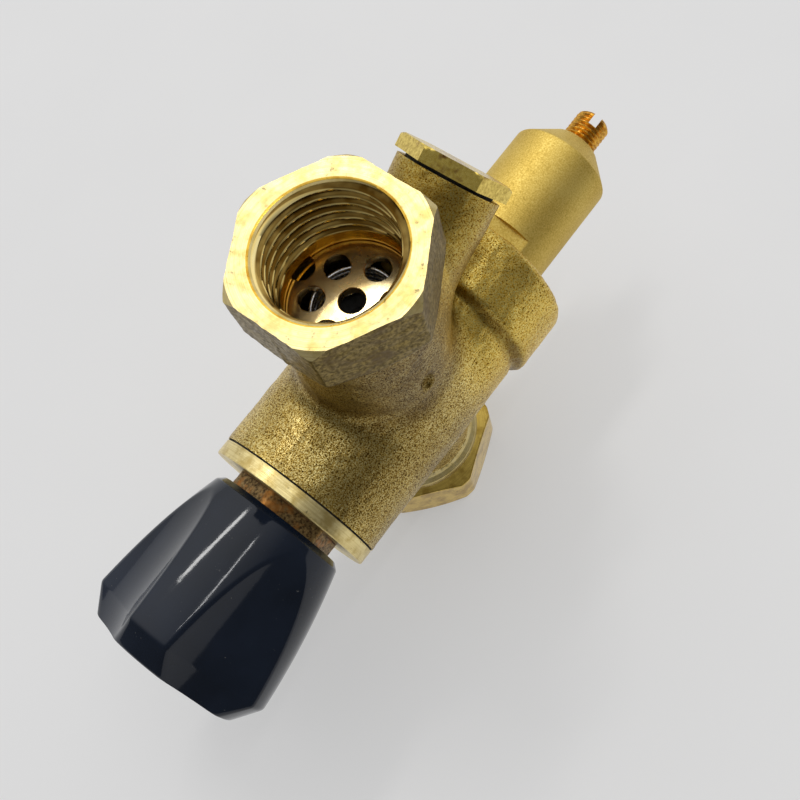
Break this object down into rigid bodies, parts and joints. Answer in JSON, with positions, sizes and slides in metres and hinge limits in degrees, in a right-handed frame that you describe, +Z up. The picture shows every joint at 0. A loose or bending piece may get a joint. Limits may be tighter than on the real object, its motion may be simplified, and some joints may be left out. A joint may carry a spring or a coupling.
{
  "type": "pressure relief valve",
  "caption": "Brass relief valve: barrel with dark shut-off knob and slotted spring adjuster, crossed by a threaded outlet, plugged side branch and union-nut inlet.",
  "frame": {"origin": "middle of the union nut's lower face, on the axis of the inlet and outlet", "axes": "+Z up the inlet and outlet line out of the threaded outlet, +X along the barrel towards the adjusting screw"},
  "size_m": [0.1156, 0.0322, 0.077],
  "materials": {
    "cast_brass": "as-cast, satin, with machined port face",
    "turned_brass": "turned, satin",
    "bonnet_brass": "rough, stained brown",
    "plug_brass": "satin, lightly stained",
    "nut_brass": "machined, satin",
    "copper_screw": "coppery, threaded",
    "plate_metal": "polished",
    "steel": "bright",
    "knob_plastic": "glossy moulded",
    "grey_plastic": "matte moulded",
    "black_rubber": "matte",
    "fibre": "matte pressed fibre"
  },
  "bodies": {
    "body": {"valve_body": "cast_brass", "seat_insert": "turned_brass", "bonnet": "bonnet_brass", "bonnet_gasket": "fibre", "spring_housing": "turned_brass", "housing_seal_ring": "black_rubber", "guide_plate": "plate_metal", "check_seat": "grey_plastic", "side_plug": "plug_brass", "side_plug_gasket": "black_rubber", "inlet_tail": "turned_brass", "inlet_gasket": "fibre", "relief_spring": "steel", "check_spring": "steel"},
    "shutoff_disc": {"disc_holder": "turned_brass", "shutoff_washer": "black_rubber", "washer_screw": "steel"},
    "knob_and_spindle": {"spindle": "turned_brass", "spindle_seal_ring": "black_rubber", "knob": "knob_plastic", "knob_screw": "steel", "knob_cap": "knob_plastic"},
    "relief_piston": {"relief_piston": "turned_brass", "relief_seal": "black_rubber", "relief_seal_screw": "steel", "piston_seal_ring": "black_rubber"},
    "spring_button": {"spring_button": "turned_brass"},
    "adjusting_screw": {"adjusting_screw": "copper_screw"},
    "check_poppet": {"check_poppet": "grey_plastic", "check_seal": "black_rubber"},
    "union_nut": {"union_nut": "nut_brass"}
  },
  "joints": [
    {"name": "shutoff_slide", "type": "slide", "parent": "body", "child": "shutoff_disc", "axis": [-1, 0, 0], "range_m": [0, 0.004]},
    {"name": "knob_turn", "type": "hinge", "parent": "shutoff_disc", "child": "knob_and_spindle", "pos_m": [-0.045, 0, 0.033], "axis": [-1, 0, 0], "range_deg": [0, 962]},
    {"name": "relief_lift", "type": "slide", "parent": "body", "child": "relief_piston", "axis": [1, 0, 0], "range_m": [0, 0.003], "stiffness_N_per_m": 300, "springref_m": -0.004, "deforming": ["relief_spring"]},
    {"name": "adjust_slide", "type": "slide", "parent": "body", "child": "spring_button", "axis": [-1, 0, 0], "range_m": [-0.002, 0.005], "deforming": ["relief_spring"]},
    {"name": "adjust_turn", "type": "hinge", "parent": "spring_button", "child": "adjusting_screw", "pos_m": [0.051, 0, 0.033], "axis": [-1, 0, 0], "range_deg": [-722, 1802]},
    {"name": "check_lift", "type": "slide", "parent": "body", "child": "check_poppet", "axis": [0, 0, 1], "range_m": [0, 0.004], "stiffness_N_per_m": 30, "springref_m": -0.002, "deforming": ["check_spring"]},
    {"name": "nut_spin", "type": "hinge", "parent": "body", "child": "union_nut", "pos_m": [0, 0, 0.005], "axis": [0, 0, 1], "continuous": true}
  ],
  "couplings": [
    {"joint": "knob_turn", "follows": "shutoff_slide", "rad_per_m": 4188.8},
    {"joint": "adjust_turn", "follows": "adjust_slide", "rad_per_m": 6283.2}
  ]
}
